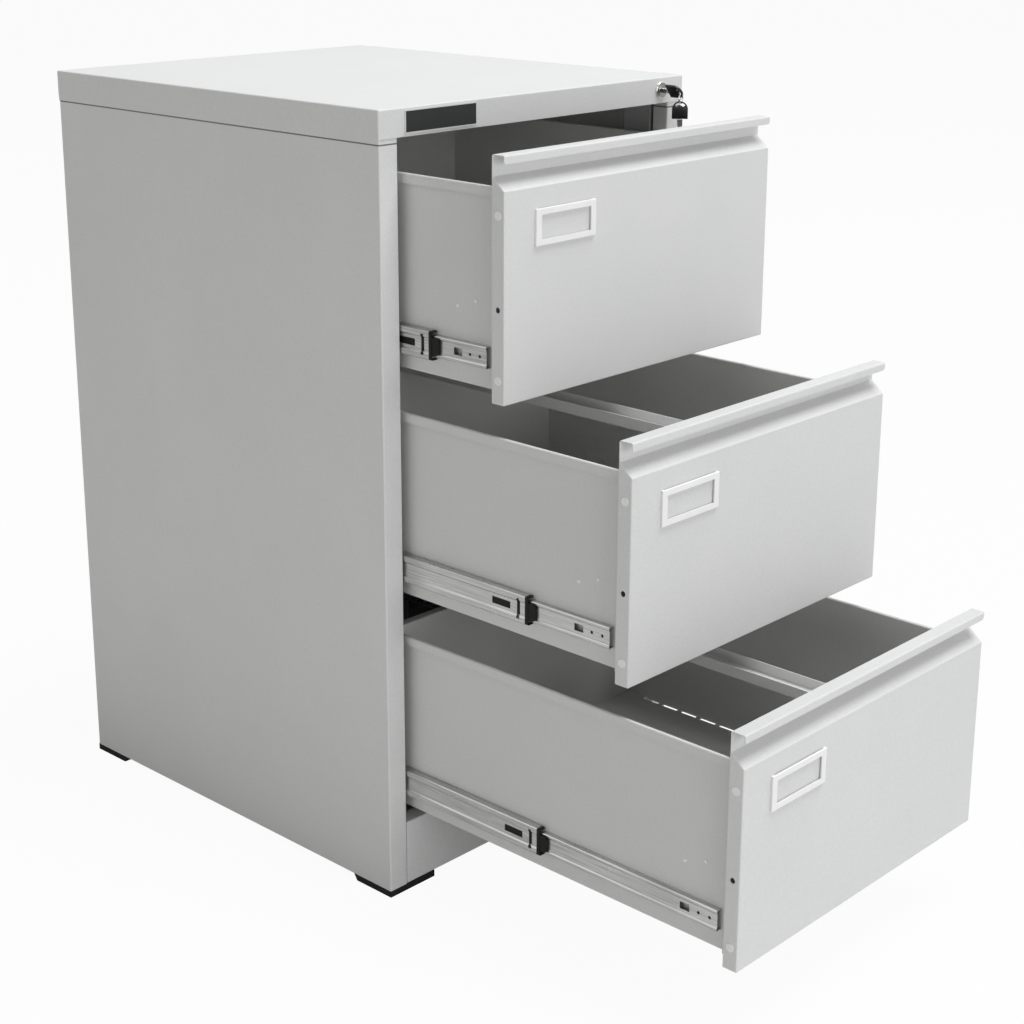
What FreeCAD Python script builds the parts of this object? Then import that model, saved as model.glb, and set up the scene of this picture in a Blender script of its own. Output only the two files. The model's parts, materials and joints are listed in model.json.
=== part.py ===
import FreeCAD, Part
import math
import os

V = FreeCAD.Vector

# Steel office filing cabinet with three drawers on ball slides and a gang lock.
# Millimetres. X to the right, Y to the back, Z up. The origin is on the floor, in the middle of the case.
# The drawers are drawn open, as they stand at rest, and each one's closed place is worked out first.

# Case
case_width = 570.0
case_depth = 654.0
sheet = 1.0
bend = 1.0
cap_skirt = 35.0
cap_edge = 2.0
cap_tail_drop = 6.0
cap_tail_length = 14.0
stile_width = 31.0
stile_return = 24.0
rear_flange = 20.0
back_side_gap = 1.5
plinth_top = 98.0
tray_flange = 25.0
foot_height = 9.0
foot_width = 80.0
foot_depth = 72.0
foot_slope = 6.0

# Name plate, left bare
plate_width = 122.0
plate_height = 28.0
plate_thickness = 1.2
plate_rim = 1.4
plate_recess = 0.4
plate_from_side = 42.0

# Drawer fronts
drawer_names = ("top", "middle", "bottom")
open_by = {"top": 172.0, "middle": 368.0, "bottom": 535.0}
front_gap = 4.5
front_side_gap = 1.3
front_sheet = 1.0
front_edge = 1.5
face_height = 252.0
chamfer_rise = 16.5
handle_back = 24.5
handle_lip = 10.0
handle_corner = 4.0
front_depth = 19.4

# Side flanges of a front: a clearance hole between two caps
flange_hole_r = 3.5
flange_hole_up = 113.5
cap_r = 5.2
cap_proud = 0.7
cap_stem_r = 3.0
cap_stem_gap = 0.2
cap_stem_length = 5.0
cap_ups = (29.0, 223.5)
flange_hole_back = 10.0

# Label holder
label_width = 105.5
label_height = 44.0
label_proud = 3.0
label_from_edge = 51.5
label_up = 182.5
label_bar = 9.2
label_bar_up = 7.4
label_pocket = 1.2
label_wall = 5.0
label_edge = 0.9

# Drawer tub
tub_sheet = 1.0
tub_up = 13.0
rim_up = 255.0
rim_width = 5.5
rim_fall = 12.0
tub_length = 550.0
tub_back_flange = 12.0
backing_side = 6.5
backing_up = 266.5
backing_gap = 0.6
backing_corner = 3.0
slot_length = 27.0
slot_width = 5.5
slot_pitch = 35.0
slot_end = 22.0
tub_rivet_r = 2.2
tub_rivet_proud = 0.9
tub_rivet_places = ((86.0, 106.0), (56.0, 116.0))

# Hanging rail for files, front to back
rail_width = 36.0
rail_depth = 15.0
rail_sheet = 1.2
rail_below_rim = 2.0
rail_x = {"middle": -47.0, "bottom": -14.0}

# Ball slides
slide_thickness = 12.7
slide_length = tub_length
slide_up = 52.0
slide_bend = 0.5
slide_sheet = 1.1
outer_sheet = 1.2
outer_height = 45.5
mid_height = 36.0
inner_height = 27.0
outer_front = 27.0
inner_front = 32.0
mid_front = 40.0
slide_web_gap = 0.4
flange_tip_gap = 1.3
outer_tip_gap = 1.7
web_step = 1.5
inner_web_step = 1.0
mid_land = 8.0
inner_land = 4.0
mid_out = {"top": 87.0, "middle": 246.8, "bottom": 268.4}

# Openings in the slide webs, measured back from each member's front end
mid_slot_start = 9.0
mid_slot_length = 5.0
mid_slot_height = 26.0
mid_window_start = 25.0
mid_window_length = 30.0
mid_window_height = 9.0
inner_window_start = 40.0
inner_window_length = 14.0
inner_window_height = 9.0
inner_holes = (11.0, 27.0)
inner_hole_r = 2.0

# Plastic end stop on each middle member
stop_plate = 1.0
stop_plate_length = 60.0
stop_plate_half = 7.8
stop_collar = 5.0
stop_nose = 11.0
stop_nose_half = 11.0
stop_nose_corner = 5.0
stop_wall = 1.6
stop_gap = 0.4

# Ball cages
cage_length = 170.0
cage_sheet = 0.8
cage_side_gap = 1.2
cage_front = 220.0
ball_gap = 0.3
ball_hole_gap = 0.1
ball_count = 3
ball_margin = 20.0

# Uprights that carry the outer slides
upright_setback = 0.2
upright_sheet = 1.2
upright_foot = 10.0
upright_width = 48.0
upright_fronts = (31.0, 480.0)
rivet_r = 2.4
rivet_gap = 0.1
rivet_head_r = 4.0
rivet_head = 1.6

# Lock
lock_from_stile = 16.0
lock_flange_r = 11.5
lock_flange = 2.5
lock_body_r = 9.5
lock_hole_gap = 0.2
plug_r = 6.5
plug_gap = 0.05
plug_proud = 0.6
plug_drive = 7.0
drive_gap = 0.1
nut_flats = 24.0
nut_thickness = 5.0
nut_gap = 0.1
cam_sheet = 2.0
cam_hub_r = 7.5
cam_arm_r = 4.0
cam_pin_reach = 12.0
cam_pin_r = 2.5
cam_gap = 0.3
lock_turn = 90.0

# Lock bar and the catch lugs on the drawers
bar_sheet = 2.0
bar_width = 16.0
bar_from_stile = 3.0
bar_gap = 0.5
bar_head_half = 6.2
bar_slot_gap = 0.6
bar_slot_end = 3.0
bar_tail = 24.0
hook_height = 8.0
hook_reach = 9.5
lug_up = 130.0
lug_height = 10.0
lug_reach = 10.0
lug_sheet = 1.5
lug_gap = 1.0
guide_height = 14.0
guide_wall = 3.6
guide_gap = 0.4
guide_up = 200.0

# Keys
key_turn = 39.0
key_blade_width = 7.6
key_blade_sheet = 2.0
key_blade_in = 12.0
key_neck = 13.0
keyway_gap = 0.2
key_head_width = 21.5
key_head_sheet = 3.0
key_head_straight = 13.0
key_slot_in = 5.2
key_slot_out = 8.8
key_slot_half_angle = 55.0
key_edge = 0.6

# Places worked out from the sizes above
front_height = face_height + chamfer_rise + handle_back
case_height = plinth_top + len(drawer_names) * (front_height + front_gap) + front_gap + cap_skirt
case_front = -case_depth / 2
case_back = case_depth / 2
half_width = case_width / 2
side_out = half_width - sheet
side_in = side_out - sheet
opening_half = half_width - stile_width
front_half = opening_half - front_side_gap
stile_front = case_front + sheet
return_end = stile_front + stile_return
upright_face = opening_half + upright_setback
tub_half = upright_face - slide_thickness
drawer_base = {}
for index, drawer in enumerate(reversed(drawer_names)):
    drawer_base[drawer] = plinth_top + front_gap + index * (front_height + front_gap)
backing_y = case_front + front_depth
tub_front = backing_y + tub_sheet
tub_rear = tub_front + tub_length
outer_in = upright_face - outer_sheet
mid_face = outer_in - slide_web_gap
inner_face = mid_face - web_step - slide_sheet - slide_web_gap
lock_x = opening_half - lock_from_stile
lock_z = case_height - cap_skirt / 2
bar_front = return_end + bar_gap
bar_back = bar_front + bar_sheet
cam_front = bar_front - bar_gap - cam_sheet
lock_rear = cam_front - cam_gap
cam_pin_angle = lock_turn / 2
pin_x = lock_x + cam_pin_reach * math.cos(math.radians(cam_pin_angle))
pin_rise = cam_pin_reach * math.sin(math.radians(cam_pin_angle))
bar_travel = 2 * pin_rise


def box(x0, x1, y0, y1, z0, z1):
    """Box between two corners."""
    return Part.makeBox(x1 - x0, y1 - y0, z1 - z0, V(x0, y0, z0))


def rod(axis, centre, radius, start, end):
    """Cylinder along an axis; centre gives the two other coordinates in X, Y, Z order."""
    a, b = centre
    bases = {"x": V(start, a, b), "y": V(a, start, b), "z": V(a, b, start)}
    ways = {"x": V(1, 0, 0), "y": V(0, 1, 0), "z": V(0, 0, 1)}
    return Part.makeCylinder(radius, end - start, bases[axis], ways[axis])


def spot(axis, u, v, w):
    """Point at u, v across an axis and w along it."""
    return {"x": V(w, u, v), "y": V(u, w, v), "z": V(u, v, w)}[axis]


def prism(axis, start, end, points, radii=None):
    """Solid of a polygon, rounded at its corners by radii, from start to end along an axis."""
    radii = radii or [0.0] * len(points)
    stations = []
    for i, (u, v) in enumerate(points):
        before = V(u - points[i - 1][0], v - points[i - 1][1], 0)
        following = points[(i + 1) % len(points)]
        after = V(following[0] - u, following[1] - v, 0)
        before.normalize()
        after.normalize()
        half_turn = before.getAngle(after) / 2
        reach = radii[i] * math.tan(half_turn)
        inward = after - before
        if inward.Length > 0:
            inward.normalize()
        sag = radii[i] / math.cos(half_turn) - radii[i]
        corner = V(u, v, 0)
        arc_start = corner - before * reach
        arc_end = corner + after * reach
        stations.append((arc_start, corner + inward * sag, arc_end, radii[i] > 0))
    edges = []
    for i, (arrive, middle, leave, is_round) in enumerate(stations):
        if is_round:
            arc = [spot(axis, p.x, p.y, start) for p in (arrive, middle, leave)]
            edges.append(Part.Arc(*arc).toShape())
        next_arrive = stations[(i + 1) % len(stations)][0]
        if leave.distanceToPoint(next_arrive) > 1e-6:
            run = [spot(axis, p.x, p.y, start) for p in (leave, next_arrive)]
            edges.append(Part.makeLine(*run))
    face = Part.Face(Part.Wire(edges))
    return face.extrude(spot(axis, 0, 0, end - start))


def bent_sheet(axis, start, end, path, thickness, inside=bend):
    """Folded sheet along an axis: one skin follows path, the other lies left, or right if negative."""
    ways = []
    for (u0, v0), (u1, v1) in zip(path, path[1:]):
        way = V(u1 - u0, v1 - v0, 0)
        way.normalize()
        ways.append(way)
    lefts = [V(-way.y, way.x, 0) for way in ways]
    other = []
    near_radii = []
    far_radii = []
    for i, (u, v) in enumerate(path):
        before = lefts[max(i - 1, 0)]
        after = lefts[min(i, len(lefts) - 1)]
        shift = (before + after) * (thickness / (1 + before.dot(after)))
        other.append((u + shift.x, v + shift.y))
        at_end = i in (0, len(path) - 1)
        turns_left = not at_end and ways[i - 1].cross(ways[i]).z > 0
        path_is_inner = turns_left == (thickness < 0)
        outside = inside + abs(thickness)
        near_radii.append(0.0 if at_end else (inside if path_is_inner else outside))
        far_radii.append(0.0 if at_end else (outside if path_is_inner else inside))
    return prism(axis, start, end, list(path) + other[::-1], near_radii + far_radii[::-1])


def fillet_where(shape, radius, test):
    """Rounds the edges whose bounding box passes a test."""
    return shape.makeFillet(radius, [edge for edge in shape.Edges if test(edge.BoundBox)])


def joined(*shapes):
    """One solid of overlapping shapes."""
    return shapes[0].fuse(list(shapes[1:])).removeSplitter()


def mirrored(shape):
    """Copy on the other side of the cabinet."""
    return shape.mirror(V(0, 0, 0), V(1, 0, 0))


def pair(shape):
    """A right-hand piece with its left-hand twin."""
    return [shape, mirrored(shape)]


def pulled(shapes, distance):
    """Pieces drawn forward from their closed place."""
    return [shape.translated(V(0, -distance, 0)) for shape in shapes]


def save(name, shapes):
    """Writes one node, as one solid or a group of separate solids."""
    solids = []
    for shape in shapes:
        solids.extend(shape.Solids)
    node = solids[0] if len(solids) == 1 else Part.makeCompound(solids)
    node.exportStep("parts/%s.step" % name)


def make_top_cap():
    """Folded lid with a skirt all round, a hole for the lock and a lower tail at each back corner."""
    low = case_height - cap_skirt
    outside = box(-half_width, half_width, case_front, case_back, low, case_height)
    outside = fillet_where(
        outside, cap_edge, lambda b: b.ZMin > case_height - 0.01 or b.ZLength > cap_skirt / 2
    )
    inside = box(-side_out, side_out, stile_front, case_back - sheet, low - sheet, case_height - sheet)
    inside = fillet_where(inside, bend, lambda b: b.ZLength > cap_skirt / 2)
    cap = outside.cut(inside)
    tail_end = case_back - cap_edge
    tail_top = low + sheet
    tail = prism(
        "x",
        side_out,
        half_width,
        [
            (tail_end - cap_tail_length, low),
            (tail_end - cap_tail_length, tail_top),
            (tail_end, tail_top),
            (tail_end, low - cap_tail_drop),
        ],
    )
    cap = joined(cap, *pair(tail))
    hole_r = lock_body_r + lock_hole_gap
    return cap.cut(rod("y", (lock_x, lock_z), hole_r, case_front - sheet, stile_front + sheet))


def make_side_panel():
    """Right-hand side, folded into the front stile with its return and into the back flange."""
    path = [
        (opening_half, return_end),
        (opening_half, stile_front),
        (side_out, stile_front),
        (side_out, case_back - sheet),
        (side_out - rear_flange, case_back - sheet),
    ]
    return bent_sheet("z", foot_height, case_height - sheet, path, sheet)


def make_back_panel():
    """Flat back, inside the flanges of the sides."""
    half = side_in - back_side_gap
    outer = case_back - 2 * sheet
    return box(-half, half, outer - sheet, outer, foot_height + sheet, case_height - sheet)


def make_base_tray():
    """Bottom of the case, folded up along both sides."""
    top = foot_height + tray_flange
    path = [(-side_in, top), (-side_in, foot_height), (side_in, foot_height), (side_in, top)]
    return bent_sheet("y", return_end, case_back - 3 * sheet, path, sheet)


def make_plinth_rail():
    """Front rail below the bottom drawer, between the stiles."""
    path = [
        (return_end, plinth_top),
        (stile_front, plinth_top),
        (stile_front, foot_height),
        (return_end, foot_height),
    ]
    return bent_sheet("x", -opening_half, opening_half, path, sheet)


def make_feet():
    """Four flat pads at the corners, sloped at the end that faces along the side."""
    feet = []
    for corner, inward in ((stile_front, 1), (case_back - sheet, -1)):
        profile = [
            (corner, 0.0),
            (corner + inward * (foot_depth - foot_slope), 0.0),
            (corner + inward * foot_depth, foot_height),
            (corner, foot_height),
        ]
        feet += pair(prism("x", side_out - foot_width, side_out, profile))
    return feet


def make_name_plate():
    """Blank plate with a thin raised rim on the front skirt."""
    left = -half_width + plate_from_side
    right = left + plate_width
    low = lock_z - plate_height / 2
    high = lock_z + plate_height / 2
    face = case_front - plate_thickness
    plate = box(left, right, face, case_front, low, high)
    field = box(
        left + plate_rim,
        right - plate_rim,
        face - plate_recess,
        face + plate_recess,
        low + plate_rim,
        high - plate_rim,
    )
    return plate.cut(field)


def rivet_places():
    """Where the outer slides are riveted to the uprights: distances back and heights."""
    backs = [case_front + start + upright_width / 2 for start in upright_fronts]
    ups = [drawer_base[name] + slide_up for name in drawer_names]
    return [(back, up) for back in backs for up in ups]


def make_uprights():
    """Two hat-shaped uprights on each side wall, drilled for the slide rivets."""
    low = foot_height + tray_flange
    high = case_height - sheet
    web = upright_face + upright_sheet
    uprights = []
    for start in upright_fronts:
        y0 = case_front + start
        y1 = y0 + upright_width
        path = [
            (side_in, y0 - upright_foot),
            (side_in, y0 + upright_sheet),
            (web, y0 + upright_sheet),
            (web, y1 - upright_sheet),
            (side_in, y1 - upright_sheet),
            (side_in, y1 + upright_foot),
        ]
        upright = bent_sheet("z", low, high, path, upright_sheet)
        holes = [
            rod("x", place, rivet_r + rivet_gap, upright_face - sheet, web + sheet)
            for place in rivet_places()
            if y0 < place[0] < y1
        ]
        uprights += pair(upright.cut(holes))
    return uprights


def make_case_rivets():
    """Rivets through the slide webs, with their set heads behind the uprights."""
    rivets = []
    web = upright_face + upright_sheet
    for place in rivet_places():
        shank = rod("x", place, rivet_r, outer_in, web + rivet_head / 2)
        head = rod("x", place, rivet_head_r, web, web + rivet_head)
        rivets += pair(joined(shank, head))
    return rivets


def channel(face, tip, centre, height, thickness, start, step=0.0, land=0.0):
    """Right-hand slide member: a channel with its web outwards, sunk by step between two lands."""
    half = height / 2
    path = [(tip, centre + half), (face, centre + half)]
    if step:
        path += [
            (face, centre + half - land),
            (face - step, centre + half - land - step),
            (face - step, centre - half + land + step),
            (face, centre - half + land),
        ]
    path += [(face, centre - half), (tip, centre - half)]
    return bent_sheet("y", start, start + slide_length, path, -thickness, slide_bend)


def make_outer_slides(name):
    """Slide members fixed to the case."""
    centre = drawer_base[name] + slide_up
    member = channel(
        upright_face, tub_half + outer_tip_gap, centre, outer_height, outer_sheet, case_front + outer_front
    )
    holes = [
        rod("x", place, rivet_r + rivet_gap, outer_in - sheet, upright_face + sheet)
        for place in rivet_places()
        if abs(place[1] - centre) < 1
    ]
    return pair(member.cut(holes))


def make_mid_slides(name):
    """Middle slide members, closed place: the window and the slot show the end stop behind the web."""
    centre = drawer_base[name] + slide_up
    start = case_front + mid_front
    member = channel(
        mid_face, tub_half + flange_tip_gap, centre, mid_height, slide_sheet, start, web_step, mid_land
    )
    through = (mid_face - web_step - 2 * slide_sheet, mid_face + slide_sheet)
    slot = box(
        *through,
        start + mid_slot_start,
        start + mid_slot_start + mid_slot_length,
        centre - mid_slot_height / 2,
        centre + mid_slot_height / 2,
    )
    window = box(
        *through,
        start + mid_window_start,
        start + mid_window_start + mid_window_length,
        centre - mid_window_height / 2,
        centre + mid_window_height / 2,
    )
    return pair(member.cut([slot, window]))


def make_inner_slides(name):
    """Drawer slide members, closed place, with a lanced window and two holes near the front."""
    centre = drawer_base[name] + slide_up
    start = case_front + inner_front
    member = channel(
        inner_face, tub_half, centre, inner_height, slide_sheet, start, inner_web_step, inner_land
    )
    through = (inner_face - inner_web_step - 2 * slide_sheet, inner_face + slide_sheet)
    window = box(
        *through,
        start + inner_window_start,
        start + inner_window_start + inner_window_length,
        centre - inner_window_height / 2,
        centre + inner_window_height / 2,
    )
    holes = [rod("x", (start + back, centre), inner_hole_r, *through) for back in inner_holes]
    return pair(member.cut([window] + holes))


def make_slide_stops(name):
    """Plastic end stops: a plate behind the middle member's web, a collar on its end and a nose."""
    centre = drawer_base[name] + slide_up
    start = case_front + mid_front
    seat = mid_face - web_step - slide_sheet
    plate = box(
        seat - stop_plate,
        seat,
        start - stop_collar - stop_nose,
        start + stop_plate_length,
        centre - stop_plate_half,
        centre + stop_plate_half,
    )
    rib = box(
        seat - stop_plate / 2,
        mid_face - web_step,
        start + mid_slot_start + stop_gap,
        start + mid_slot_start + mid_slot_length - stop_gap,
        centre - stop_plate_half,
        centre + stop_plate_half,
    )
    half = mid_height / 2
    tip = tub_half + flange_tip_gap
    collar = bent_sheet(
        "y",
        start - stop_collar,
        start,
        [
            (tip, centre + half),
            (mid_face, centre + half),
            (mid_face, centre - half),
            (tip, centre - half),
        ],
        -stop_wall,
        slide_bend,
    )
    bridge = box(
        seat - stop_plate / 2,
        mid_face - stop_wall / 2,
        start - stop_collar,
        start,
        centre - stop_plate_half,
        centre + stop_plate_half,
    )
    nose_profile = [
        (start - stop_collar, centre - stop_nose_half),
        (start - stop_collar, centre + stop_nose_half),
        (start - stop_collar - stop_nose, centre + stop_nose_half),
        (start - stop_collar - stop_nose, centre - stop_nose_half),
    ]
    nose = prism("x", seat, mid_face - stop_gap, nose_profile, [0.0, 0.0, stop_nose_corner, stop_nose_corner])
    return pair(joined(plate, rib, collar, bridge, nose))


def make_cages(name, lower_flange, upper_flange):
    """Strips with their balls between two nested members, above and below the slide's centre."""
    centre = drawer_base[name] + slide_up
    x0 = tub_half + outer_tip_gap + cage_side_gap
    x1 = inner_face - cage_side_gap
    start = case_front + cage_front
    middle_x = (x0 + x1) / 2
    offset = (lower_flange + upper_flange) / 2
    ball_r = (upper_flange - lower_flange) / 2 - ball_gap
    pitch = (cage_length - 2 * ball_margin) / (ball_count - 1)
    pieces = []
    for z in (centre - offset, centre + offset):
        strip = box(x0, x1, start, start + cage_length, z - cage_sheet / 2, z + cage_sheet / 2)
        for i in range(ball_count):
            y = start + ball_margin + i * pitch
            hole = rod("z", (middle_x, y), ball_r + ball_hole_gap, z - cage_sheet, z + cage_sheet)
            strip = strip.cut(hole)
            pieces += pair(Part.makeSphere(ball_r, V(middle_x, y, z)))
        pieces += pair(strip)
    return pieces


def make_outer_cages(name):
    """Ball cages between the outer and middle members."""
    return make_cages(name, mid_height / 2, outer_height / 2 - outer_sheet)


def make_inner_cages(name):
    """Ball cages between the middle and inner members."""
    return make_cages(name, inner_height / 2, mid_height / 2 - slide_sheet)


def make_front_panel(name):
    """Pressed drawer front: a shallow pan with a sloped top and a folded finger pull along it."""
    base = drawer_base[name]
    knee = base + face_height
    shoulder = knee + chamfer_rise
    top = base + front_height
    rear = case_front + front_depth
    pan = prism(
        "x",
        -front_half,
        front_half,
        [(case_front, base), (rear, base), (rear, shoulder), (case_front, knee)],
    )
    pan = fillet_where(pan, front_edge, lambda b: b.YMin < case_front + 0.01)
    slope_length = math.hypot(front_depth, chamfer_rise)
    drop = front_sheet * slope_length / front_depth
    behind = rear + front_sheet
    slope = chamfer_rise / front_depth
    inside = prism(
        "x",
        -front_half + front_sheet,
        front_half - front_sheet,
        [
            (case_front + front_sheet, base + front_sheet),
            (behind, base + front_sheet),
            (behind, knee + slope * (front_depth + front_sheet) - drop),
            (case_front + front_sheet, knee + slope * front_sheet - drop),
        ],
    )
    pull = bent_sheet(
        "x",
        -front_half,
        front_half,
        [
            (rear - front_sheet, shoulder - front_sheet),
            (rear - front_sheet, top - front_sheet),
            (case_front + front_sheet, top - front_sheet),
            (case_front + front_sheet, top - handle_lip),
        ],
        -front_sheet,
    )
    lip_low = top - handle_lip
    pull = fillet_where(
        pull,
        handle_corner,
        lambda b: b.YMax < case_front + front_sheet + 0.01 and b.ZMax < lip_low + 0.01 and b.XLength < 0.01,
    )
    panel = joined(pan.cut(inside), pull)
    holes = [hole_in_flanges(base + flange_hole_up, flange_hole_r)]
    holes += [hole_in_flanges(base + up, cap_stem_r + cap_stem_gap) for up in cap_ups]
    return panel.cut(holes)


def hole_in_flanges(up, radius):
    """Pair of drills, one through each side flange of a front, that leave what lies between."""
    back = case_front + flange_hole_back
    drill = rod("x", (back, up), radius, front_half - 2 * front_sheet, front_half + front_sheet)
    return Part.makeCompound(pair(drill))


def make_front_backing(name):
    """Inner wall of a drawer front, with short side returns sloped down to the rim."""
    base = drawer_base[name]
    half = tub_half - tub_sheet + backing_side
    low = base + tub_up
    high = base + backing_up
    return_back = bar_front - backing_gap
    wall = prism(
        "y",
        backing_y,
        tub_front,
        [(-half, low), (half, low), (half, high), (-half, high)],
        [0.0, 0.0, backing_corner, backing_corner],
    )
    side = prism(
        "x",
        half - tub_sheet,
        half,
        [
            (backing_y, low),
            (return_back, low),
            (return_back, base + rim_up),
            (backing_y, high - backing_corner),
        ],
    )
    return joined(wall, *pair(side))


def make_tub(name):
    """Floor and sides of a drawer in one folded sheet, with hemmed rims, bend slots and the catch lug."""
    base = drawer_base[name]
    wall = tub_half - tub_sheet
    floor = base + tub_up + tub_sheet
    rim = base + rim_up
    hem = wall + rim_width
    path = [
        (hem, rim - rim_fall),
        (hem, rim),
        (wall, rim),
        (wall, floor),
        (-wall, floor),
        (-wall, rim),
        (-hem, rim),
        (-hem, rim - rim_fall),
    ]
    tub = bent_sheet("y", tub_front, tub_rear, path, tub_sheet)
    lug_y = bar_back + lug_gap
    lug_z = base + lug_up
    lug = box(
        tub_half - tub_sheet / 2,
        tub_half + lug_reach,
        lug_y,
        lug_y + lug_sheet,
        lug_z - lug_height / 2,
        lug_z + lug_height / 2,
    )
    slots = []
    slot_side = wall - bend - tub_sheet / 2
    room = tub_length - 2 * slot_end
    count = int((room - slot_length) // slot_pitch) + 1
    first = tub_front + slot_end + (room - slot_length - (count - 1) * slot_pitch) / 2
    for i in range(count):
        y = first + i * slot_pitch
        slots += pair(
            box(
                slot_side - slot_width,
                slot_side,
                y,
                y + slot_length,
                floor - 2 * tub_sheet,
                floor + tub_sheet,
            )
        )
    return joined(tub, lug).cut(slots)


def make_tub_back(name):
    """Back of a drawer, folded away at the top."""
    base = drawer_base[name]
    path = [
        (tub_rear, base + tub_up),
        (tub_rear, base + rim_up),
        (tub_rear + tub_back_flange, base + rim_up),
    ]
    return bent_sheet("x", -tub_half, tub_half, path, -tub_sheet)


def make_hanging_rail(name):
    """Channel from the front to the back of a drawer, for the hooks of hanging files."""
    top = drawer_base[name] + rim_up - rail_below_rim
    low = top - rail_depth
    left = rail_x[name] - rail_width / 2
    right = rail_x[name] + rail_width / 2
    path = [(left, top), (left, low), (right, low), (right, top)]
    return bent_sheet("y", tub_front, tub_rear, path, rail_sheet)


def make_label_holder(name):
    """Plastic frame with a window and a pocket for a card, open at the top."""
    left = -front_half + label_from_edge
    right = left + label_width
    low = drawer_base[name] + label_up
    high = low + label_height
    face = case_front - label_proud
    frame = box(left, right, face, case_front, low, high)
    frame = fillet_where(frame, label_edge, lambda b: b.YMax < face + 0.01 or b.YLength > label_proud / 2)
    window = box(
        left + label_bar,
        right - label_bar,
        face - label_proud,
        case_front + label_proud,
        low + label_bar_up,
        high - label_bar_up,
    )
    window = fillet_where(window, label_edge, lambda b: b.YLength > label_proud)
    pocket = box(
        left + label_wall,
        right - label_wall,
        case_front - label_pocket,
        case_front + label_pocket,
        low + label_wall,
        high + label_wall,
    )
    return frame.cut([window, pocket])


def make_drawer_fasteners(name):
    """Domed caps in the front's side flanges and rivets in the sides of the tub."""
    base = drawer_base[name]
    pieces = []
    for up in cap_ups:
        place = (case_front + flange_hole_back, base + up)
        head = rod("x", place, cap_r, front_half, front_half + cap_proud)
        head = fillet_where(head, cap_proud / 2, lambda b: b.XMin > front_half + cap_proud / 2)
        stem = rod("x", place, cap_stem_r, front_half - cap_stem_length, front_half + cap_proud / 2)
        pieces += pair(joined(head, stem))
    for back, up in tub_rivet_places:
        place = (case_front + back, base + up)
        head = rod("x", place, tub_rivet_r, tub_half, tub_half + tub_rivet_proud)
        head = fillet_where(head, tub_rivet_proud / 2, lambda b: b.XMin > tub_half + tub_rivet_proud / 2)
        pieces += pair(head)
    return pieces


def make_lock_housing():
    """Round lock body through the skirt, with its bezel in front."""
    axis = (lock_x, lock_z)
    bezel_face = case_front - lock_flange
    bezel = rod("y", axis, lock_flange_r, bezel_face, case_front)
    bezel = fillet_where(
        bezel, lock_flange / 2, lambda b: b.YMax < bezel_face + 0.01 and b.XLength > lock_flange_r
    )
    body = rod("y", axis, lock_body_r, case_front - lock_flange / 2, lock_rear)
    bore = rod("y", axis, plug_r + plug_gap, bezel_face - sheet, lock_rear + sheet)
    return joined(bezel, body).cut(bore)


def make_lock_nut():
    """Hexagon nut that clamps the lock body to the skirt."""
    reach = nut_flats / math.sqrt(3)
    corners = []
    for i in range(6):
        angle = math.radians(60 * i)
        corners.append((lock_x + reach * math.cos(angle), lock_z + reach * math.sin(angle)))
    nut = prism("y", stile_front, stile_front + nut_thickness, corners)
    return nut.cut(rod("y", (lock_x, lock_z), lock_body_r + nut_gap, case_front, lock_rear))


def turned(shape, angle):
    """Copy turned about the lock's axis."""
    return shape.rotated(V(lock_x, 0, lock_z), V(0, 1, 0), angle)


def make_lock_plug():
    """Plug that turns in the lock body, with its keyway and the square that drives the cam."""
    axis = (lock_x, lock_z)
    face = case_front - lock_flange - plug_proud
    barrel = rod("y", axis, plug_r, face, lock_rear + cam_gap / 2)
    half = plug_drive / 2
    drive = box(lock_x - half, lock_x + half, lock_rear, cam_front + cam_sheet, lock_z - half, lock_z + half)
    keyway_sheet = key_blade_sheet + 2 * keyway_gap
    keyway_width = key_blade_width + 2 * keyway_gap
    keyway = box(
        lock_x - keyway_sheet / 2,
        lock_x + keyway_sheet / 2,
        face - sheet,
        case_front + key_blade_in + keyway_gap,
        lock_z - keyway_width / 2,
        lock_z + keyway_width / 2,
    )
    return joined(barrel, drive).cut(turned(keyway, -key_turn))


def make_lock_cam():
    """Arm on the plug, with the pin that works in the slot of the lock bar."""
    rear = cam_front + cam_sheet
    pin_z = lock_z + pin_rise
    hub = rod("y", (lock_x, lock_z), cam_hub_r, cam_front, rear)
    tip = rod("y", (pin_x, pin_z), cam_arm_r, cam_front, rear)
    arm = box(lock_x, lock_x + cam_pin_reach, cam_front, rear, lock_z - cam_arm_r, lock_z + cam_arm_r)
    pin = rod("y", (pin_x, pin_z), cam_pin_r, cam_front, bar_back + bar_gap)
    half = plug_drive / 2 + drive_gap
    square = box(lock_x - half, lock_x + half, cam_front - sheet, rear + sheet, lock_z - half, lock_z + half)
    return joined(hub, tip, turned(arm, -cam_pin_angle), pin).cut(square)


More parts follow.
